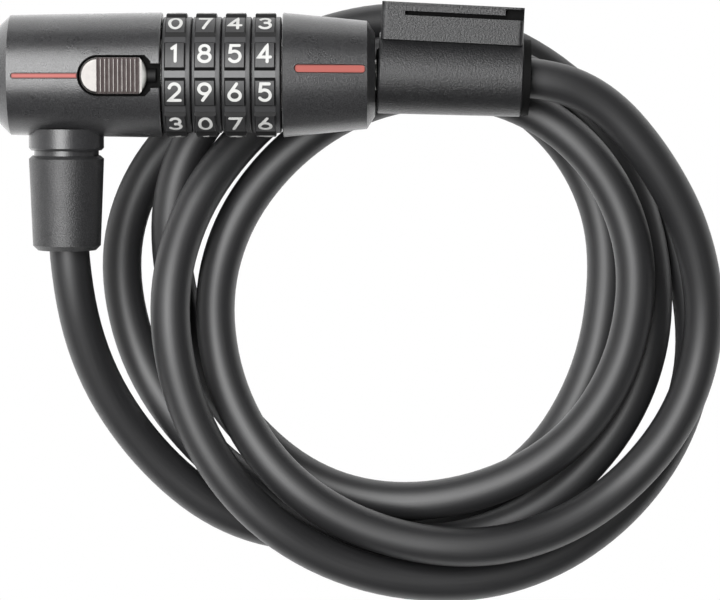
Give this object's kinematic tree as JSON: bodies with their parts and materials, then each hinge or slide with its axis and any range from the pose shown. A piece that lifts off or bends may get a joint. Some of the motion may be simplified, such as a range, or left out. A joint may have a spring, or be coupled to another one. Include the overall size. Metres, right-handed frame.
{
  "type": "cable lock",
  "caption": "Combination cable lock: cylindrical lock body with number dials and slide button, pull-out plug, bracket sleeve with rail, and a coiled sheathed cable.",
  "frame": {"origin": "on the lock axis, at the centre of the flat rear end face", "axes": "+X along the lock from the rear end towards the plug, +Y away from the cable gland, +Z out of the slide button's face, away from the flat coil"},
  "size_m": [0.1829, 0.1543, 0.0528],
  "materials": {
    "charcoal": "satin dark grey paint on die-cast zinc",
    "red": "red moulded marker strip",
    "black": "black moulded plastic",
    "steel": "machined hardened steel",
    "spring": "bright spring steel strip",
    "gland_metal": "satin dark grey paint",
    "sheath": "smooth black vinyl sheath over steel rope",
    "silver": "satin silver moulded plastic",
    "brass": "machined brass",
    "dial_plastic": "dark grey moulded plastic",
    "inner_plastic": "natural moulded acetal",
    "sleeve_plastic": "coarse grained dark grey plastic",
    "white_ink": "white printed digits on the dials"
  },
  "bodies": {
    "lock": {"rear_housing": "charcoal", "rear_end_cap": "charcoal", "rear_marker": "red", "slider_frame": "black", "core_tube": "steel", "detent_leaf": "spring", "front_housing": "charcoal", "front_marker": "red", "nose_pins": "steel", "housing_screws": "steel", "slider_spring": "spring", "stack_spring": "spring", "gland_neck": "gland_metal", "retaining_clip": "spring", "gland_ring": "gland_metal", "cable": "sheath"},
    "slider": {"slider_button": "silver", "slider_carrier": "steel", "pusher_ring": "steel", "dial_spacer_1": "inner_plastic", "dial_spacer_2": "inner_plastic", "dial_spacer_3": "inner_plastic", "dial_spacer_4": "inner_plastic"},
    "cable_swivel": {"gland_sleeve": "gland_metal", "cable_crimp": "steel", "rope_tail": "steel", "rope_stop": "brass"},
    "plug": {"plug_pin": "steel", "plug_ferrule": "steel", "plug_rope": "steel", "bracket_sleeve": "sleeve_plastic", "bracket_end_ring": "black"},
    "dial_1": {"dial_ring_1": "dial_plastic"},
    "clutch_1": {"clutch_ring_1": "brass"},
    "dial_2": {"dial_ring_2": "dial_plastic"},
    "clutch_2": {"clutch_ring_2": "brass"},
    "dial_3": {"dial_ring_3": "dial_plastic"},
    "clutch_3": {"clutch_ring_3": "brass"},
    "dial_4": {"dial_ring_4": "dial_plastic"},
    "clutch_4": {"clutch_ring_4": "brass"}
  },
  "joints": [
    {"name": "slider_shift", "type": "slide", "parent": "lock", "child": "slider", "axis": [1, 0, 0], "range_m": [0, 0.0009], "stiffness_N_per_m": 2000, "springref_m": -0.0005, "deforming": ["slider_spring", "stack_spring"]},
    {"name": "dial_1_turn", "type": "hinge", "parent": "lock", "child": "dial_1", "pos_m": [0.04433, 0, 0], "axis": [1, 0, 0], "continuous": true},
    {"name": "clutch_1_shift", "type": "slide", "parent": "dial_1", "child": "clutch_1", "axis": [1, 0, 0], "range_m": [0, 0.0009]},
    {"name": "dial_2_turn", "type": "hinge", "parent": "lock", "child": "dial_2", "pos_m": [0.05173, 0, 0], "axis": [1, 0, 0], "continuous": true},
    {"name": "clutch_2_shift", "type": "slide", "parent": "dial_2", "child": "clutch_2", "axis": [1, 0, 0], "range_m": [0, 0.0009]},
    {"name": "dial_3_turn", "type": "hinge", "parent": "lock", "child": "dial_3", "pos_m": [0.05912, 0, 0], "axis": [1, 0, 0], "continuous": true},
    {"name": "clutch_3_shift", "type": "slide", "parent": "dial_3", "child": "clutch_3", "axis": [1, 0, 0], "range_m": [0, 0.0009]},
    {"name": "dial_4_turn", "type": "hinge", "parent": "lock", "child": "dial_4", "pos_m": [0.06653, 0, 0], "axis": [1, 0, 0], "continuous": true},
    {"name": "clutch_4_shift", "type": "slide", "parent": "dial_4", "child": "clutch_4", "axis": [1, 0, 0], "range_m": [0, 0.0009]},
    {"name": "cable_swivel_turn", "type": "hinge", "parent": "lock", "child": "cable_swivel", "pos_m": [0.0162, -0.03, 0], "axis": [0, 1, 0], "continuous": true},
    {"name": "plug_pull", "type": "slide", "parent": "lock", "child": "plug", "axis": [1, 0, 0], "range_m": [0, 0.057], "deforming": ["cable"]}
  ],
  "couplings": [
    {"joint": "clutch_1_shift", "follows": "slider_shift", "ratio": 1},
    {"joint": "clutch_2_shift", "follows": "slider_shift", "ratio": 1},
    {"joint": "clutch_3_shift", "follows": "slider_shift", "ratio": 1},
    {"joint": "clutch_4_shift", "follows": "slider_shift", "ratio": 1}
  ]
}
